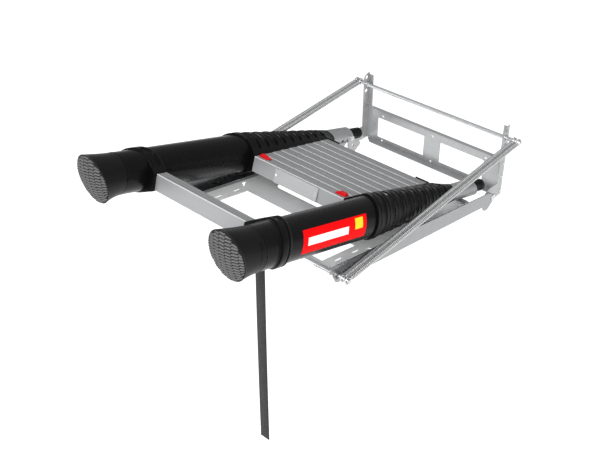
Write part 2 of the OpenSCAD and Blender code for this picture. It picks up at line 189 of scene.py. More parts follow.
def webbing():
    """Woven black strap: weft ribs across the strap and a warp of fine cords along it."""
    mat = surface("strap_webbing", (0.012, 0.012, 0.013), 0.0, 0.8, (500, 500, 500), tone=0.25,
                  specular=0.2)
    tree = mat.node_tree
    shader = tree.nodes["Principled BSDF"]
    set_input(shader, "Sheen Weight", 0.12)
    coords = tree.nodes.new("ShaderNodeTexCoord")
    height = tree.nodes.new("ShaderNodeMath")
    height.operation = "ADD"
    for slot, (direction, scale) in enumerate([("Z", 260), ("X", 180)]):
        wave = tree.nodes.new("ShaderNodeTexWave")
        wave.bands_direction = direction
        wave.inputs["Scale"].default_value = scale
        tree.links.new(coords.outputs["Object"], wave.inputs["Vector"])
        tree.links.new(wave.outputs["Fac"], height.inputs[slot])
    relief = tree.nodes.new("ShaderNodeBump")
    relief.inputs["Strength"].default_value = 0.6
    relief.inputs["Distance"].default_value = 0.0005
    tree.links.new(height.outputs["Value"], relief.inputs["Height"])
    tree.links.new(relief.outputs["Normal"], shader.inputs["Normal"])
    return mat


MATERIALS["strap_webbing"] = webbing()


# ---------- piece making ----------

def piece(name, verts, faces, body, slot, replaced=(), matrix=LADDER, smooth=40, bevel=0.0, material=None):
    """A mesh piece from points in millimetres, riding on a body and finished from a material slot."""
    mesh = bpy.data.meshes.new(name)
    mesh.from_pydata([tuple(matrix @ Vector(v)) for v in verts], [], faces)
    mesh.validate()
    mesh.update()
    obj = bpy.data.objects.new(name, mesh)
    bpy.context.scene.collection.objects.link(obj)
    mesh.materials.append(MATERIALS[material or slot])
    if bevel:
        rounding = obj.modifiers.new("rounding", "BEVEL")
        rounding.width = bevel * MM
        rounding.segments = 2
        rounding.limit_method = "ANGLE"
        rounding.angle_limit = math.radians(40)
    bpy.context.view_layer.objects.active = obj
    obj.select_set(True)
    if smooth:
        bpy.ops.object.shade_smooth_by_angle(angle=math.radians(smooth))
    obj.select_set(False)
    fix_normals(mesh)
    if body:
        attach(obj, body)
        if replaced:
            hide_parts(*replaced)
    return obj


def fix_normals(mesh):
    """Turns every face of the closed solids outwards."""
    work = bmesh.new()
    work.from_mesh(mesh)
    bmesh.ops.recalc_face_normals(work, faces=work.faces)
    work.to_mesh(mesh)
    work.free()


class Shape:
    """Points and faces gathered from several closed solids."""

    def __init__(self):
        self.verts = []
        self.faces = []

    def add(self, verts, faces):
        start = len(self.verts)
        self.verts += [tuple(v) for v in verts]
        self.faces += [[start + i for i in face] for face in faces]
        return self

    def mirrored(self):
        """Adds the same solids on the other side of the ladder."""
        self.add([(-x, u, w) for x, u, w in self.verts], [face[::-1] for face in list(self.faces)])
        return self


def grid_faces(rows, columns, close_rows=False, close_columns=True):
    """Quads between rows of equal length."""
    faces = []
    for j in range(rows if close_rows else rows - 1):
        for i in range(columns if close_columns else columns - 1):
            a, b = j * columns, ((j + 1) % rows) * columns
            faces.append([a + i, a + (i + 1) % columns, b + (i + 1) % columns, b + i])
    return faces


def lathe(profile, segments):
    """Ring turned round the right stile's axis from a closed section, [(u, radius)]."""
    verts = []
    for u, r in profile:
        for i in range(segments):
            a = 2 * math.pi * i / segments
            verts.append((AXIS_X + r * math.cos(a), u, AXIS_W + r * math.sin(a)))
    return verts, grid_faces(len(profile), segments, close_rows=True)


def box(low, high):
    """Plain block, to be rounded by a bevel."""
    verts = [(x, u, w) for x in (low[0], high[0]) for u in (low[1], high[1]) for w in (low[2], high[2])]
    faces = [[0, 1, 3, 2], [4, 6, 7, 5], [0, 4, 5, 1], [2, 3, 7, 6], [0, 2, 6, 4], [1, 5, 7, 3]]
    return verts, faces


def rod_x(radius, x0, x1, u, w, segments=32, chamfer=0.6):
    """Round bar across the ladder with chamfered ends."""
    profile = [(x0, 0.01), (x0, radius - chamfer), (x0 + chamfer, radius), (x1 - chamfer, radius),
               (x1, radius - chamfer), (x1, 0.01)]
    verts = []
    for x, r in profile:
        for i in range(segments):
            a = 2 * math.pi * i / segments
            verts.append((x, u + r * math.cos(a), w + r * math.sin(a)))
    ends = [list(range(segments))[::-1], list(range(len(verts) - segments, len(verts)))]
    return verts, grid_faces(len(profile), segments) + ends


# ---------- collars and clamps ----------

def tangent_angle(radius, corner, side):
    """Angle on the ring, from outward, where a straight line from the corner touches it."""
    dx, dw = corner[0] - AXIS_X, corner[1] - AXIS_W
    return math.atan2(dw, dx) - side * math.acos(min(0.999, radius / math.hypot(dx, dw)))


def bracket_outline(radius, half, low, high, solid_share=0.4):
    """Closed outline in x and w: the ring, and straight webs from it to the end of the tread.

    Each entry is (x, w, inward x, inward w, kind); only pocket and arc are cut back between ridges."""
    start = tangent_angle(radius, (half, low), -1)
    end = tangent_angle(radius, (half, high), 1)
    outline = []
    steps = 64
    for i in range(steps + 1):
        a = start + (end - start) * i / steps
        kind = "pocket" if i > steps - 10 else "arc"
        cos_a, sin_a = math.cos(a), math.sin(a)
        outline.append((AXIS_X + radius * cos_a, AXIS_W + radius * sin_a, -cos_a, -sin_a, kind))
    tx, tw = outline[-1][:2]
    nx, nw = -math.cos(end), -math.sin(end)
    stop = 1 - solid_share
    for d, kind in [(0.3 * stop, "pocket"), (0.6 * stop, "pocket"), (stop - 0.03, "pocket"), (stop, "slope"),
                    (0.9, "slope"), (1.0, "slope")]:
        outline.append((tx + (half - tx) * d, tw + (high - tw) * d, nx, nw, kind))
    outline += [(half, high - 1.5, 1, 0, "side"), (half, low + 1.5, 1, 0, "side"), (half, low, 1, 0, "side")]
    sx, sw = outline[0][:2]
    nx, nw = -math.cos(start), -math.sin(start)
    for d in (0.25, 0.5, 0.75):
        outline.append((half + (sx - half) * d, low + (sw - low) * d, nx, nw, "slope"))
    return outline


def rake(x, half):
    """How far a ring's plane leans towards the wall at x: its outer side leans towards the feet."""
    fade = max(0.0, min(1.0, (x - half) / 26))
    return min(8.0, -0.4 * (x - AXIS_X)) * fade * fade * (3 - 2 * fade)


def ring_loft(stations, half):
    """Closed loft through stations [(u, outline, bore, insets by kind)], open along the stile."""
    outer, inner = [], []
    for u, outline, bore, insets in stations:
        for x, w, nx, nw, kind in outline:
            d = insets.get(kind, 0.0)
            px, pw = x + nx * d, w + nw * d
            outer.append((px, u + rake(px, half), pw))
            a = math.atan2(pw - AXIS_W, px - AXIS_X)
            bx = AXIS_X + bore * math.cos(a)
            inner.append((bx, u + rake(bx, half), AXIS_W + bore * math.sin(a)))
    count, rows = len(stations[0][1]), len(stations)
    faces = grid_faces(rows, count)
    shift = len(outer)
    faces += [[shift + i for i in face[::-1]] for face in grid_faces(rows, count)]
    for j in (0, rows - 1):
        for i in range(count):
            a, b = j * count + i, j * count + (i + 1) % count
            quad = [a, shift + a, shift + b, b]
            faces.append(quad if j == 0 else quad[::-1])
    return outer + inner, faces


# u from the collar's front, and how far the ring, the pocket and the webs are cut back there
COLLAR_PROFILE = [(0.0, 1.6, 1.6, 0.8), (0.9, 0.2, 0.2, 0.0), (2.0, 0.0, 0.0, 0.0), (4.2, 0.0, 0.0, 0.0),
                  (5.2, 0.8, 0.3, 0.0), (12.6, 0.8, 0.3, 0.0), (13.6, 0.0, 0.0, 0.0), (16.2, 0.0, 0.0, 0.0),
                  (17.4, 0.5, 0.4, 0.0), (18.6, 3.0, 5.0, 0.0), (20.0, 3.4, 5.4, 0.0), (28.6, 3.4, 5.4, 0.0),
                  (29.6, 3.4, 5.2, 0.0), (30.4, 3.5, 5.2, 0.6)]
RIM = 4.0
TAIL_BORE = 20.4


def make_collars():
    """A collar pair per section; the last pair has a tapering tail towards the wall."""
    for k in range(1, SECTIONS + 1):
        tube_r = tube_size(k)[2]
        high = local_box(f"collars_{k}", LADDER)[1]
        tread_low, tread_high = local_box(f"tread_{k}", LADDER)
        front, half = tread_low.y, tread_high.x
        low_w, high_w = tread_low.z + 0.4, tread_high.z + 1.2
        outline = bracket_outline(tube_r + RIM, half, low_w, high_w)
        stations = []
        for u, ring, pocket, web in COLLAR_PROFILE:
            insets = {"arc": ring, "pocket": pocket, "slope": web, "side": 0.0}
            stations.append((front + u, outline, tube_r, insets))
        body = Shape().add(*ring_loft(stations, half))
        if k == SECTIONS:
            tail_front, tail_end = front + COLLAR_PROFILE[-1][0], high.y
            tail = []
            for step in range(9):
                t = step / 8
                edge = half + (AXIS_X - 30 - half) * min(1.0, 1.25 * t)
                shape = bracket_outline(tube_r + 2.2 - 3.4 * t, edge, low_w + 9 * t, high_w - 7 * t)
                tail.append((tail_front + (tail_end - tail_front) * t, shape, TAIL_BORE,
                             {"arc": 0.5 if step in (0, 8) else 0.0}))
            body.add(*ring_loft(tail, half))
        body.mirrored()
        piece(f"collar_pair_{k}", body.verts, body.faces, f"section_{k}", "black_plastic",
              (f"collars_{k}",), smooth=35)


def make_rear_clips():
    """Small hooked clips at the rear corners of the last tread."""
    high = local_box(f"tread_{SECTIONS}", LADDER)[1]
    clips = Shape()
    clips.add(*box((high.x - 34, high.y - 1.5, high.z + 0.1), (high.x + 1, high.y + 2, high.z + 2.6)))
    clips.add(*box((high.x - 34, high.y + 0.1, high.z - 16), (high.x + 1, high.y + 2, high.z + 0.1)))
    clips.mirrored()
    piece("rear_clips", clips.verts, clips.faces, f"section_{SECTIONS}", "black_plastic", bevel=0.7)


# u from the clamp's front, and how far the ring, the slot and the webs are cut back there
CLAMP_PROFILE = [(0.0, 3.3, 3.3, 1.0), (1.0, 2.9, 2.9, 0.1), (5.0, 2.7, 2.7, 0.0), (6.0, 2.6, 2.6, 0.0),
                 (7.0, 0.4, 0.4, 0.0), (8.0, 0.0, 0.0, 0.0), (11.0, 0.0, 0.2, 0.0), (12.0, 0.0, 3.0, 0.0),
                 (14.0, 0.0, 4.6, 0.0), (21.0, 0.0, 4.6, 0.0), (22.4, 0.2, 3.2, 0.0), (23.4, 1.6, 1.6, 0.0),
                 (25.4, 1.7, 1.7, 0.0), (26.4, 0.2, 0.2, 0.0), (29.0, 0.0, 0.0, 0.0), (30.4, 0.5, 0.5, 0.0),
                 (31.2, 2.4, 2.4, 0.0), (34.0, 3.3, 3.3, 0.0)]


def make_step_clamps():
    """Clamps that hold the lowest step, the right one with two lugs and a pin for the strap."""
    low, high = local_box("step_clamps", LADDER)
    step_low, step_high = local_box("lowest_step", LADDER)
    pin = LADDER.inverted() @ Vector(joints["strap_hang"]["pos_m"])
    half = step_high.x
    outline = bracket_outline(high.x - AXIS_X, half, step_low.z - 1, step_high.z + 2, 0.35)
    stations = [(low.y + u + 1, outline, BOTTOM_R, {"arc": ring, "pocket": slot, "slope": web, "side": 0.0})
                for u, ring, slot, web in CLAMP_PROFILE]
    clamp = Shape().add(*ring_loft(stations, half))
    clamp.mirrored()
    for x0 in (pin.x - 16.5, pin.x + 13.5):
        clamp.add(*box((x0, pin.y - 5, pin.z - 5), (x0 + 3, pin.y + 5, step_low.z + 1)))
    clamp.add(*rod_x(3, pin.x - 14, pin.x + 14, pin.y, pin.z, 24))
    piece("step_clamp_pair", clamp.verts, clamp.faces, "section_1", "black_plastic",
          ("step_clamps",), smooth=35)


# ---------- treads ----------

def rounded_section(u0, u1, w0, w1, radius, steps=4):
    """Rectangle with rounded corners in u and w, anticlockwise seen from +X."""
    points = []
    corners = [(u1 - radius, w1 - radius, 0), (u0 + radius, w1 - radius, 90),
               (u0 + radius, w0 + radius, 180), (u1 - radius, w0 + radius, 270)]
    for cu, cw, start in corners:
        for i in range(steps + 1):
            a = math.radians(start + 90 * i / steps)
            points.append((cu + radius * math.cos(a), cw + radius * math.sin(a)))
    return points


def ribbed(points, top, pitch=8.4, depth=0.6):
    """Adds shallow grooves along the top edge of a section."""
    u_values = [u for u, w in points if w > top - 0.01]
    u_high, u_low = max(u_values), min(u_values)
    grooves = []
    count = int((u_high - u_low - 1.5) // pitch)
    middle = (u_high + u_low) / 2
    for i in range(count):
        u = middle + (count - 1) * pitch / 2 - i * pitch
        grooves += [(u + 1.2, top), (u + 0.6, top - depth), (u - 0.6, top - depth), (u - 1.2, top)]
    at = next(i for i, p in enumerate(points) if abs(p[0] - u_high) < 1e-6 and p[1] > top - 0.01)
    return points[:at + 1] + grooves + points[at + 1:]


def extrusion(half, outer, inner):
    """Hollow bar along x from an outer and an inner section with equal start corners."""
    verts, faces = [], []
    for ring in (outer, inner):
        start = len(verts)
        for x in (-half, half):
            verts += [(x, u, w) for u, w in ring]
        n = len(ring)
        for i in range(n):
            j = (i + 1) % n
            quad = [start + i, start + j, start + n + j, start + n + i]
            faces.append(quad if ring is outer else quad[::-1])
    return verts, faces, len(outer), len(inner)


def make_extrusion(name, node, body, radius=1.7, wall=1.6, slots=()):
    """Hollow tread with rounded edges and a grooved top, in place of a CAD tread."""
    low, high = local_box(node, LADDER)
    outer = ribbed(rounded_section(low.y, high.y, low.z, high.z, radius), high.z)
    inner = rounded_section(low.y + wall, high.y - wall, low.z + wall, high.z - wall, 0.5)
    verts, faces, n_outer, n_inner = extrusion(high.x, outer, inner)
    for end in (0, 1):
        ring_a = [end * n_outer + i for i in range(n_outer)]
        ring_b = [2 * n_outer + end * n_inner + i for i in range(n_inner)]
        faces += bridge(ring_a, ring_b, verts, end == 1)
    obj = piece(name, verts, faces, body, "tread_aluminium", (node,), smooth=50)
    for slot_low, slot_high in slots:
        cut_slot(obj, slot_low, slot_high)
    paint_edge_highlights(obj, low, high, radius)


def paint_edge_highlights(obj, low, high, radius):
    """Painted highlight: lighter metal on the rounded edges along the top of an extrusion."""
    obj.data.materials.append(MATERIALS["painted_edge_highlight"])
    back = LADDER.inverted()
    for face in obj.data.polygons:
        at = back @ face.center
        if at.z > high.z - radius and not low.y + radius < at.y < high.y - radius:
            face.material_index = 1


def bridge(ring_a, ring_b, verts, flip):
    """Triangles between two closed rings of different lengths, matched by direction from the centre."""
    cu = sum(verts[i][1] for i in ring_b) / len(ring_b)
    cw = sum(verts[i][2] for i in ring_b) / len(ring_b)

    def turn(i):
        return math.atan2(verts[i][2] - cw, verts[i][1] - cu) % (2 * math.pi)

    a = sorted(ring_a, key=turn)
    b = sorted(ring_b, key=turn)
    faces, i, j = [], 0, 0
    while i < len(a) or j < len(b):
        next_a = turn(a[i + 1]) if i + 1 < len(a) else (2 * math.pi + turn(a[0]) if i < len(a) else 1e9)
        next_b = turn(b[j + 1]) if j + 1 < len(b) else (2 * math.pi + turn(b[0]) if j < len(b) else 1e9)
        ai, bj = a[i % len(a)], b[j % len(b)]
        if next_a <= next_b:
            faces.append([ai, a[(i + 1) % len(a)], bj])
            i += 1
        else:
            faces.append([ai, b[(j + 1) % len(b)], bj])
            j += 1
    return [face[::-1] for face in faces] if flip else faces


def cut_slot(obj, low, high):
    """Cuts a block-shaped slot out of a piece."""
    cutter = piece("cutter", *box(low, high), None, "tread_aluminium", smooth=0)
    cut = obj.modifiers.new("slot", "BOOLEAN")
    cut.operation = "DIFFERENCE"
    cut.object = cutter
    bpy.context.view_layer.objects.active = obj
    bpy.ops.object.modifier_apply(modifier=cut.name)
    bpy.data.objects.remove(cutter)


def make_treads():
    """The nine treads and the lowest step; the first has slots for the button stems."""
    b_low, b_high = local_box("right_button", LADDER)
    stem_u = (b_low.y + b_high.y) / 2
    for k in range(1, SECTIONS + 1):
        slots = []
        if k == 1:
            _, top = local_box("tread_1", LADDER)
            slots = [((side * 102 - 12, stem_u - 3, top.z - 5), (side * 102 + 12, stem_u + 3, top.z + 5))
                     for side in (-1, 1)]
        make_extrusion(f"tread_bar_{k}", f"tread_{k}", f"section_{k}", slots=slots)
    make_extrusion("lowest_step_bar", "lowest_step", "section_1")


def make_tread_cover():
    """Bright plate on the front of the first tread, with its rivets."""
    low, high = local_box("tread_cover", LADDER)
    cover = Shape().add(*box(low, high))
    piece("cover_plate_front", cover.verts, cover.faces, "section_1", "cover_plate",
          ("tread_cover",), bevel=0.7)
    middle = (low.z + high.z) / 2
    marks = Shape()
    marks.add(*disc(low.x + 5, low.y, middle + 1, 2.6, 0.35))
    marks.add(*disc(high.x - 4.5, low.y, middle + 2.5, 1.0, 0.3))
    marks.add(*disc(high.x - 4.5, low.y, middle - 2.5, 1.0, 0.3))
    piece("cover_rivets", marks.verts, marks.faces, "section_1", "zinc_steel", bevel=0.1)


def disc(x, u, w, radius, height, segments=24):
    """Low round boss that stands out of a front face towards the feet."""
    verts = []
    for du in (0.2, -height):
        for i in range(segments):
            a = 2 * math.pi * i / segments
            verts.append((x + radius * math.cos(a), u + du, w + radius * math.sin(a)))
    n = segments
    return verts, grid_faces(2, n) + [list(range(n))[::-1], list(range(n, 2 * n))]


# ---------- buttons ----------

def make_buttons():
    """Ridged red keys on the first tread, each with its stem and lock pin."""
    for side, sign in (("right", 1), ("left", -1)):
        low, high = local_box(f"{side}_button", LADDER)
        _, tread_high = local_box("tread_1", LADDER)
        base = tread_high.z + 0.4
        x_in = min(abs(low.x), abs(high.x))
        centre_x = 106
        u0, u1 = low.y, high.y
        cu = (u0 + u1) / 2
        steps = 26
        half_l = 13
        verts = []
        for i in range(steps + 1):
            t = i / steps
            x = centre_x - half_l + 2 * half_l * t
            if sign > 0:
                rise = 1.4 + 4.6 * min(1, t / 0.42) ** 0.8 * (1 - max(0, (t - 0.86) / 0.14) ** 2 * 0.6)
            else:
                rise = 1.4 + 4.6 * min(1, t / 0.72) ** 1.2 * (1 - max(0, (t - 0.86) / 0.14) ** 2 * 0.6)
            rise += 0.35 * math.cos(t * math.pi * 14) if 0.25 < t < 0.85 else 0.0
            rise = min(rise, high.z - base)
            width = (u1 - u0) / 2 * (0.72 + 0.28 * math.sin(math.pi * min(1, 0.15 + t * 0.8)))
            verts += [(x, cu - width, base), (x, cu - width, base + rise * 0.55),
                      (x, cu - width * 0.72, base + rise), (x, cu + width * 0.72, base + rise),
                      (x, cu + width, base + rise * 0.55), (x, cu + width, base)]
        n = 6
        ends = [list(range(n))[::-1], list(range(len(verts) - n, len(verts)))]
        shape = Shape().add(verts, grid_faces(steps + 1, n) + ends)
        shape.add(*box((centre_x - 7, cu - 2.2, AXIS_W + 2), (centre_x + 7, cu + 2.2, base + 0.3)))
        shape.add(*rod_x(3.6, x_in, AXIS_X - BOTTOM_R + 1.6, cu, AXIS_W, 20))
        if sign < 0:
            shape.verts = [(-x, u, w) for x, u, w in shape.verts]
            shape.faces = [face[::-1] for face in shape.faces]
        piece(f"{side}_release_key", shape.verts, shape.faces, f"{side}_release", "red_plastic",
              (f"{side}_button",), smooth=35)


# ---------- feet ----------

SOLE_TILT = math.radians(23)
SOLE_AT = Vector((178.8, -852, 19))
SOLE_X, SOLE_Y = 43.6, 54.5
SOLE_RISE = 9.7


def sole_matrix():
    """Frame of the sole: z out of it, x across the ladder, y up the sole."""
    return Matrix.Translation(SOLE_AT) @ Matrix.Rotation(math.radians(90) + SOLE_TILT, 4, "X")


def dome_height(p, q):
    """Height of the sole's dome above its rim."""
    share = min(1.0, (p / SOLE_X) ** 2 + (q / SOLE_Y) ** 2)
    ball = (SOLE_Y ** 2 + SOLE_RISE ** 2) / (2 * SOLE_RISE)
    return SOLE_RISE - ball + math.sqrt(ball * ball - share * SOLE_Y ** 2)


def oval(matrix, share, drop, segments=72):
    """Ring of points on an oval of the sole's shape."""
    points = []
    for i in range(segments):
        a = 2 * math.pi * i / segments
        across, up = SOLE_X * share * math.cos(a), -SOLE_Y * share * math.sin(a)
        points.append(tuple(matrix @ Vector((across, up, drop))))
    return points


def make_feet():
    """Flared rubber boots with oval domed soles and staggered tread bars."""
    foot = Shape()
    place = sole_matrix()
    rings, segments = [], 72
    neck_r = BOTTOM_R + 0.5
    for u, r in ((-798, BOTTOM_R + 0.1), (-798.2, BOTTOM_R + 0.3), (-799.6, neck_r)):
        rings.append([(AXIS_X + r * math.cos(2 * math.pi * i / segments), u,
                       AXIS_W + r * math.sin(2 * math.pi * i / segments)) for i in range(segments)])
    steps = 14
    for s in range(1, steps + 1):
        t = s / steps
        flare = t ** 1.9
        turn = math.radians(90) + SOLE_TILT * t ** 1.3
        centre = Vector((AXIS_X, -800, AXIS_W)).lerp(SOLE_AT, t)
        spin = Matrix.Translation(centre) @ Matrix.Rotation(turn, 4, "X")
        rx = neck_r + (SOLE_X - 0.3 - neck_r) * flare
        ry = neck_r + (SOLE_Y - 0.6 - neck_r) * flare
        rings.append([tuple(spin @ Vector((rx * math.cos(a), -ry * math.sin(a), 0)))
                      for a in (2 * math.pi * i / segments for i in range(segments))])
    rings.append(oval(place, 1.0, 0.6))
    rings.append(oval(place, 0.975, 1.0))
    for share in (0.93, 0.84, 0.72, 0.58, 0.44, 0.3, 0.16, 0.05):
        rings.append(oval(place, share, dome_height(SOLE_X * share, 0)))
    verts = [v for ring in rings for v in ring]
    faces = grid_faces(len(rings), segments)
    faces.append(list(range(len(verts) - segments, len(verts))))
    faces.append(list(range(segments))[::-1])
    foot.add(verts, faces)
    foot.mirrored()
    piece("boot_pair", foot.verts, foot.faces, "section_1", "foot_rubber", ("feet",), smooth=35)

    bars = Shape()
    pitch_p, pitch_q = 13.4, 6.4
    bar_w, bar_h = 12.2, 3.5
    for i in range(-4, 5):
        for j in range(-9, 10):
            p = i * pitch_p
            q = j * pitch_q + (pitch_q / 2 if i % 2 else 0)
            corners = []
            for lift, shrink in ((-1.0, 0.0), (2.2, 0.4)):
                for dp, dq in ((-1, -1), (1, -1), (1, 1), (-1, 1)):
                    pp = p + dp * (bar_w / 2 - shrink)
                    qq = q + dq * (bar_h / 2 - shrink)
                    limit = math.hypot(pp / SOLE_X, qq / SOLE_Y) / 0.96
                    if limit > 1:
                        pp, qq = pp / limit, qq / limit
                    corners.append((pp, qq, lift))
            area = abs(sum(corners[a][0] * corners[b][1] - corners[b][0] * corners[a][1]
                           for a, b in ((4, 5), (5, 6), (6, 7), (7, 4)))) / 2
            if area < 9:
                continue
            verts = [tuple(place @ Vector((pp, -qq, dome_height(pp, qq) + lift))) for pp, qq, lift in corners]
            bars.add(verts, [[0, 3, 2, 1], [4, 5, 6, 7], [0, 1, 5, 4], [1, 2, 6, 5], [2, 3, 7, 6],
                             [3, 0, 4, 7]])
    bars.mirrored()
    piece("sole_bars", bars.verts, bars.faces, "section_1", "foot_rubber", smooth=0, material="sole_bar")


# ---------- springs ----------

def helix(axis_from, axis_to, radius, wire, pitch, around=10, section=6):
    """Wire wound round the line between two points, in millimetres in the row frame."""
    a, b = Vector(axis_from), Vector(axis_to)
    along = (b - a).normalized()
    side = along.cross(Vector((1, 0, 0))).normalized()
    up = along.cross(side)
    length = (b - a).length
    turns = length / pitch
    steps = int(turns * around)
    verts, faces = [], []
    for i in range(steps + 1):
        t = i / steps
        angle = 2 * math.pi * turns * t
        out = side * math.cos(angle) + up * math.sin(angle)
        centre = a + along * (length * t) + out * radius
        for j in range(section):
            phi = 2 * math.pi * j / section
            verts.append(centre + out * (wire * math.cos(phi)) + along * (wire * math.sin(phi)))
    faces = grid_faces(steps + 1, section)
    faces.append(list(range(section))[::-1])
    faces.append(list(range(len(verts) - section, len(verts))))
    return verts, faces


def loop_x(x, centre, radius, wire, turns=1.6, around=20, section=6):
    """A hook's loop round a pin along x, in the row frame, spread a little along x."""
    verts = []
    steps = int(turns * around)
    for i in range(steps + 1):
        t = i / steps
        a = 2 * math.pi * turns * t
        out = Vector((0, math.cos(a), math.sin(a)))
        mid = Vector((x + (t - 0.5) * 2 * wire * turns, centre[0], centre[1])) + out * radius
        for j in range(section):
            phi = 2 * math.pi * j / section
            verts.append(mid + out * (wire * math.cos(phi)) + Vector((wire * math.sin(phi), 0, 0)))
    faces = grid_faces(steps + 1, section)
    faces.append(list(range(section))[::-1])
    faces.append(list(range(len(verts) - section, len(verts))))
    return verts, faces


def make_springs():
    """Four wound springs that stretch between the wall frame and the front rod, and their end loops."""
    rod = Vector(joints["spring_swing"]["pos_m"]) / MM
    direction = Vector(joints["spring_stretch"]["axis"])
    high = local_box("springs", ROW)[1]
    spring_r = high.x - SPRING_X[1]
    wire = 1.9
    length = SPRING_LENGTH
    pin = rod + direction * length
    for side in (-1, 1):
        for name, x in zip(("inner", "outer"), SPRING_X):
            shape = Shape()
            start = Vector((side * x, rod.y, rod.z)) + direction * 9.5
            end = Vector((side * x, rod.y, rod.z)) + direction * (length - 10.5)
            shape.add(*helix(start, end, spring_r - wire, wire, 2 * wire + 0.7, 14))
            coil = piece(f"spring_coil_{'right' if side > 0 else 'left'}_{name}", shape.verts, shape.faces,
                         None, "spring_steel", matrix=ROW, smooth=60)
            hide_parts("springs")
            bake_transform(coil)
    top_loops, low_loops = Shape(), Shape()
    for x in SPRING_X:
        for shape, centre, way in ((top_loops, rod, 1), (low_loops, pin, -1)):
            shape.add(*loop_x(x, (centre.y, centre.z), 5.1 + wire, wire, turns=1.25))
            neck_from = Vector((x, centre.y, centre.z)) + direction * (6.4 * way)
            neck_to = Vector((x, centre.y, centre.z)) + direction * (11.5 * way)
            shape.add(*helix(neck_from, neck_to, 1.9, wire, 2 * wire))
    top_loops.mirrored()
    low_loops.mirrored()
    piece("spring_top_loops", top_loops.verts, top_loops.faces, "springs", "spring_steel",
          matrix=ROW, smooth=60)
    piece("spring_low_loops", low_loops.verts, low_loops.faces, "spring_ends", "spring_steel",
          ("spring_hooks",), matrix=ROW, smooth=60)


def spring_length():
    """Distance from the upper rod to the front rod at rest."""
    rod = Vector(joints["spring_swing"]["pos_m"]) / MM
    pins = [v.co / MM for v in nodes["front_rod"].data.vertices]
    far = [p for p in pins if p.x > max(q.x for q in pins) - 0.5]
    centre_y = (min(p.y for p in far) + max(p.y for p in far)) / 2
    centre_z = (min(p.z for p in far) + max(p.z for p in far)) / 2
    return math.hypot(centre_y - rod.y, centre_z - rod.z)


SPRING_LENGTH = spring_length()
SPRING_X = (224.0, 235.4)


# ---------- strap ----------

def make_strap():
    """Flat webbing with a sewn loop round the clamp's pin, hanging straight down."""
    pin = Vector(joints["strap_hang"]["pos_m"]) / MM
    low, high = local_box("strap", ROW)
    half_w = (high.x - low.x) / 2
    thick = 1.0
    end_z = low.z + 0.5
    straight = 22
    drop = [(pin.y, pin.z - 7), (pin.y, pin.z - straight)]
    steps = 28
    for i in range(1, steps + 1):
        t = i / steps
        z = pin.z - straight + (end_z - pin.z + straight) * t
        sway = 0.9 * math.sin(math.pi * t)
        drop.append((pin.y - sway, z))
    loop = [(pin.y + 4.2 * math.cos(math.radians(a)), pin.z + 4.2 * math.sin(math.radians(a)))
            for a in range(-70, 251, 20)]
    shape = Shape()
    shape.add(*ribbon(drop, half_w, thick, pin.x))
    shape.add(*ribbon(loop, half_w, thick * 0.9, pin.x))
    obj = piece("pull_strap_webbing", shape.verts, shape.faces, "pull_strap", "strap_webbing", ("strap",),
                matrix=ROW, smooth=40)


def ribbon(points, half_w, thick, x):
    """Flat band across x that follows points in y and z."""
    verts = []
    n = len(points)
    for i, (y, z) in enumerate(points):
        y0, z0 = points[max(0, i - 1)]
        y1, z1 = points[min(n - 1, i + 1)]
        length = math.hypot(y1 - y0, z1 - z0) or 1
        ny, nz = -(z1 - z0) / length, (y1 - y0) / length
        left, left_in, right_in, right = x - half_w, x - half_w + 0.7, x + half_w - 0.7, x + half_w
        full = (ny * thick, nz * thick)
        thin = (full[0] * 0.5, full[1] * 0.5)
        verts += [(left, y + thin[0], z + thin[1]), (left_in, y + full[0], z + full[1]),
                  (right_in, y + full[0], z + full[1]), (right, y + thin[0], z + thin[1]),
                  (right, y - thin[0], z - thin[1]), (right_in, y - full[0], z - full[1]),
                  (left_in, y - full[0], z - full[1]), (left, y - thin[0], z - thin[1])]
    faces = grid_faces(n, 8) + [list(range(8))[::-1], list(range(8 * n - 8, 8 * n))]
    return verts, faces


# ---------- label and small parts ----------

def patch(u0, u1, a0, a1, lift, across=40, along=4):
    """Thin closed sheet that lies on the right stile tube between two angles, in degrees from outward."""
    verts = []
    for r in (BOTTOM_R + 0.02, BOTTOM_R + lift):
        for j in range(along + 1):
            for i in range(across + 1):
                a = math.radians(a0 + (a1 - a0) * i / across)
                x = AXIS_X + r * math.cos(a)
                verts.append((x, u0 + (u1 - u0) * j / along + rake(x, 121), AXIS_W + r * math.sin(a)))
    n = (along + 1) * (across + 1)
    sheet = grid_faces(along + 1, across + 1, close_columns=False)
    faces = [face[::-1] for face in sheet] + [[n + i for i in face] for face in sheet]
    rim = [i for i in range(across + 1)] + [(j + 1) * (across + 1) - 1 for j in range(1, along + 1)]
    rim += [along * (across + 1) + i for i in range(across - 1, -1, -1)]
    rim += [j * (across + 1) for j in range(along - 1, 0, -1)]
    for i, a in enumerate(rim):
        b = rim[(i + 1) % len(rim)]
        faces.append([a, b, n + b, n + a])
    return verts, faces


# the label's u range and its angles in degrees from outward
LABEL_U = (-690, -502)
LABEL_A = (-19, 44)


def make_label():
    """Plain red label with a white bar and a yellow square, without lettering."""
    u0, u1 = LABEL_U
    a0, a1 = LABEL_A
    for name, sheet, material in (("field", patch(u0, u1, a0, a1, 0.25), "label_red"),
                                  ("stripe", patch(u0 + 14, u1 - 56, 3, 23, 0.33), "label_white"),
                                  ("block", patch(u1 - 36, u1 - 12, 10, 38, 0.33), "label_yellow")):
        piece(f"label_{name}", *sheet, "section_1", "red_plastic", material=material)


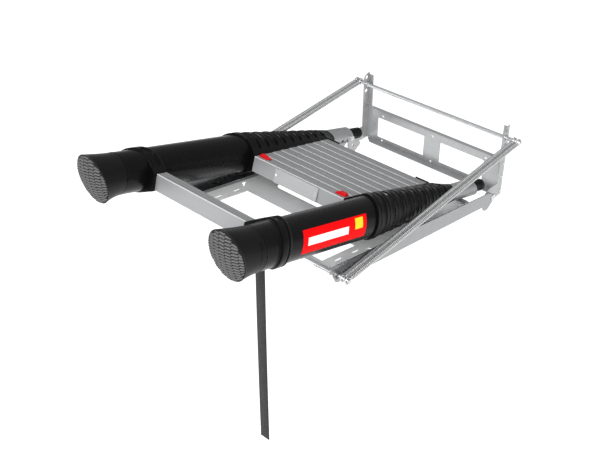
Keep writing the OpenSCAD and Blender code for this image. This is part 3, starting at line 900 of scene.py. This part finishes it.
def make_upper_rod():
    """Threaded tie rod between the uprights."""
    low, high = local_box("upper_rod", ROW)
    radius = (high.z - low.z) / 2
    cy, cz = (low.y + high.y) / 2, (low.z + high.z) / 2
    profile = [(low.x, 0.01), (low.x, radius - 1.0), (low.x + 1.0, radius)]
    pitch = 2.6
    inner = 196.0
    profile.append((-inner - 0.5, radius))
    count = int(2 * inner / pitch)
    for i in range(count):
        x = -inner + i * pitch
        profile += [(x, radius - 0.3), (x + pitch / 2, radius - 0.02)]
    profile += [(inner, radius - 0.3), (inner + 0.5, radius), (high.x - 1.0, radius), (high.x, radius - 1.0),
                (high.x, 0.01)]
    segments = 24
    verts = []
    for x, r in profile:
        for i in range(segments):
            a = 2 * math.pi * i / segments
            verts.append((x, cy + r * math.cos(a), cz + r * math.sin(a)))
    faces = grid_faces(len(profile), segments)
    faces += [list(range(segments))[::-1], list(range(len(verts) - segments, len(verts)))]
    piece("tie_rod", verts, faces, "mounting_frame", "zinc_steel", ("upper_rod",), matrix=ROW, smooth=50)


def make_top_details():
    """Moulded end plugs of the top tubes, and the rivets on the tubes' inner sides."""
    top_low, top_high = local_box("top_tubes", LADDER)
    radius = (top_high.z - top_low.z) / 2
    low, high = local_box("top_caps", LADDER)
    end, r = high.y, 14.0
    start = end - 58
    profile = [(low.y, 2.0), (low.y, radius - 1.7), (start, radius - 1.7), (start + 1, r), (end - 22, r),
               (end - 21, r - 1.0), (end - 18, r - 1.0), (end - 17, r), (end - 3, r), (end, r - 3.5),
               (end, 6.0), (end - 6, 5.5), (end - 6, 2.0)]
    cap = Shape().add(*lathe(profile, segments=48))
    cap.mirrored()
    piece("end_plugs", cap.verts, cap.faces, "swing_frame", "black_plastic", ("top_caps",), smooth=35)
    rivets = Shape()
    for u, angle in ((-98, 200), (-60, 205)):
        a = math.radians(angle)
        x, w = AXIS_X + radius * math.cos(a), AXIS_W + radius * math.sin(a)
        rivets.add(*stud((x, u, w), (math.cos(a), 0, math.sin(a)), 3.4, 1.2))
    rivets.mirrored()
    piece("top_tube_rivets", rivets.verts, rivets.faces, "swing_frame", "black_plastic", smooth=40)


def stud(at, out, radius, height, segments=20):
    """Low domed rivet head that stands out of a surface along out."""
    centre, normal = Vector(at), Vector(out).normalized()
    side = normal.orthogonal().normalized()
    up = normal.cross(side)
    verts = []
    profile = [(radius, -0.6), (radius, height * 0.3), (radius * 0.8, height * 0.8), (radius * 0.4, height)]
    for r, h in profile:
        for i in range(segments):
            a = 2 * math.pi * i / segments
            verts.append(centre + normal * h + side * (r * math.cos(a)) + up * (r * math.sin(a)))
    faces = grid_faces(len(profile), segments)
    faces += [list(range(segments))[::-1], list(range(len(verts) - segments, len(verts)))]
    return verts, faces


def finish_cad_nodes():
    """Gives every carried-over CAD node the material of its slot, except the cross plate and the arms, which get
    the painted-light and painted-shade steels.
    """
    slots = {row["node"]: row["material_slot"] for row in frame["record"]["subparts"]}
    for name, obj in nodes.items():
        material = MATERIALS[NODE_MATERIALS.get(name, slots[name])]
        obj.data.materials.clear()
        obj.data.materials.append(material)


# ---------- stage ----------

def make_stage():
    """Camera, floor, world and studio lights."""
    lens = 57.32
    camera = bpy.data.objects.new("camera", bpy.data.cameras.new("camera"))
    camera.data.lens = lens
    camera.data.sensor_width = 36
    camera.location = (1.12215, -1.73676, 1.20234)
    camera.rotation_euler = (math.radians(90 - 35.05), 0, math.radians(41.93))
    bpy.context.scene.collection.objects.link(camera)
    bpy.context.scene.camera = camera

    floor_z = -3.0
    bpy.ops.mesh.primitive_plane_add(size=60, location=(0, 0, floor_z))
    floor = bpy.context.object
    floor.name = "floor"
    pale = bpy.data.materials.new("pale_floor")
    pale.use_nodes = True
    shader = pale.node_tree.nodes["Principled BSDF"]
    set_input(shader, "Base Color", (0.9, 0.9, 0.9, 1))
    set_input(shader, "Roughness", 0.9)
    set_input(shader, "Emission Color", (1, 1, 1, 1))
    set_input(shader, "Emission Strength", 0.75)
    floor.data.materials.append(pale)

    world = bpy.data.worlds.new("studio")
    bpy.context.scene.world = world
    world.use_nodes = True
    tree = world.node_tree
    background = tree.nodes["Background"]
    coords = tree.nodes.new("ShaderNodeTexCoord")
    split = tree.nodes.new("ShaderNodeSeparateXYZ")
    ramp = tree.nodes.new("ShaderNodeValToRGB")
    ramp.color_ramp.elements[0].position = 0.0
    ramp.color_ramp.elements[0].color = (0.5, 0.5, 0.5, 1)
    ramp.color_ramp.elements[1].position = 0.9
    ramp.color_ramp.elements[1].color = (0.65, 0.65, 0.65, 1)
    tree.links.new(coords.outputs["Generated"], split.inputs["Vector"])
    tree.links.new(split.outputs["Z"], ramp.inputs["Fac"])
    tree.links.new(ramp.outputs["Color"], background.inputs["Color"])
    background.inputs["Strength"].default_value = 0.8

    for name, place, aim, size, power in (
            ("key", (-1.4, -3.8, 0.4), (0, -0.4, 0), 2.6, 36),
            ("front", (1.7, -2.9, 2.1), (0, -0.45, 0), 1.8, 115),
            ("fill", (3.2, -1.2, 1.0), (0, -0.4, 0), 2.4, 10),
            ("top", (0.3, 0.4, 3.0), (0, -0.4, 0), 2.0, 14)):
        light = bpy.data.objects.new(name, bpy.data.lights.new(name, "AREA"))
        light.data.size = size
        light.data.energy = power
        light.location = place
        light.rotation_euler = (Vector(aim) - Vector(place)).to_track_quat("-Z", "Y").to_euler()
        bpy.context.scene.collection.objects.link(light)
    bpy.context.scene.view_settings.view_transform = "Standard"


make_stage()
make_strap()
finish_cad_nodes()
make_collars()
make_rear_clips()
make_step_clamps()
make_treads()
make_tread_cover()
make_buttons()
make_feet()
make_springs()
make_label()
make_upper_rod()
make_top_details()
